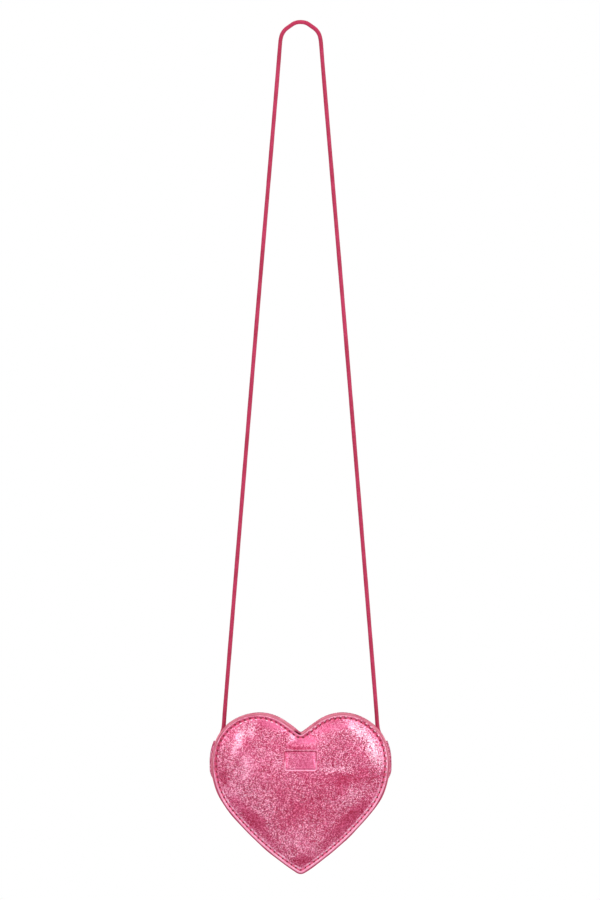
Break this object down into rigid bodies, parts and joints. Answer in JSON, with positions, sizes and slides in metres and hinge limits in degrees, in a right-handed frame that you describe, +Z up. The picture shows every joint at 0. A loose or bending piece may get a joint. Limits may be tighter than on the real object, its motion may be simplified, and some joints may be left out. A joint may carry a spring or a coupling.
{
  "type": "mini bag",
  "caption": "Heart-shaped mini shoulder bag in pink foil leather with a stitched crowned front, a zip over the lobes and a long thin round cord strap.",
  "frame": {"origin": "underside of the strap's crest, where the bag hangs on its hook", "axes": "+X to the right as seen from the front, +Y from the front to the back, +Z up; the bag's front faces -Y and the strap hangs along -Z"},
  "size_m": [0.1274, 0.0339, 0.5987],
  "materials": {
    "pink_foil_leather": "crinkled metallic foil",
    "strap_leather": "smooth satin",
    "zip_metal": "polished, light gold",
    "zip_tape_cloth": "woven",
    "lining_cloth": "plain woven",
    "wadding": "felted",
    "grey_board": "uncoated board"
  },
  "bodies": {
    "strap": {"strap_cord": "strap_leather"},
    "bag": {"front_panel": "pink_foil_leather", "back_panel": "pink_foil_leather", "gusset": "pink_foil_leather", "zip_panel": "pink_foil_leather", "zip_tape_front": "zip_tape_cloth", "zip_tape_back": "zip_tape_cloth", "zip_teeth_front": "zip_metal", "zip_teeth_back": "zip_metal", "zip_top_stop_front": "zip_metal", "zip_top_stop_back": "zip_metal", "zip_bottom_stop": "zip_metal", "side_tab_left": "pink_foil_leather", "side_tab_right": "pink_foil_leather", "strap_end_left": "strap_leather", "strap_end_right": "strap_leather", "front_lining": "lining_cloth", "back_lining": "lining_cloth", "gusset_lining": "lining_cloth", "front_padding": "wadding", "back_board": "grey_board"},
    "slider": {"slider_body": "zip_metal", "slider_bridge": "zip_metal"},
    "pull": {"zip_pull": "zip_metal"}
  },
  "joints": [
    {"name": "bag_swing", "type": "hinge", "parent": "strap", "child": "bag", "pos_m": [0, 0, -0.4998], "axis": [1, 0, 0], "range_deg": [-65, 65], "deforming": ["strap_cord"]},
    {"name": "zip_slide", "type": "hinge", "parent": "bag", "child": "slider", "pos_m": [-0.0298, 0, -0.51564], "axis": [0, 1, 0], "range_deg": [0, 49], "deforming": ["zip_teeth_front", "zip_teeth_back", "zip_tape_front", "zip_tape_back"]},
    {"name": "pull_swing", "type": "hinge", "parent": "slider", "child": "pull", "pos_m": [-0.04154, 0, -0.48798], "axis": [0, -1, 0], "range_deg": [0, 115]}
  ]
}
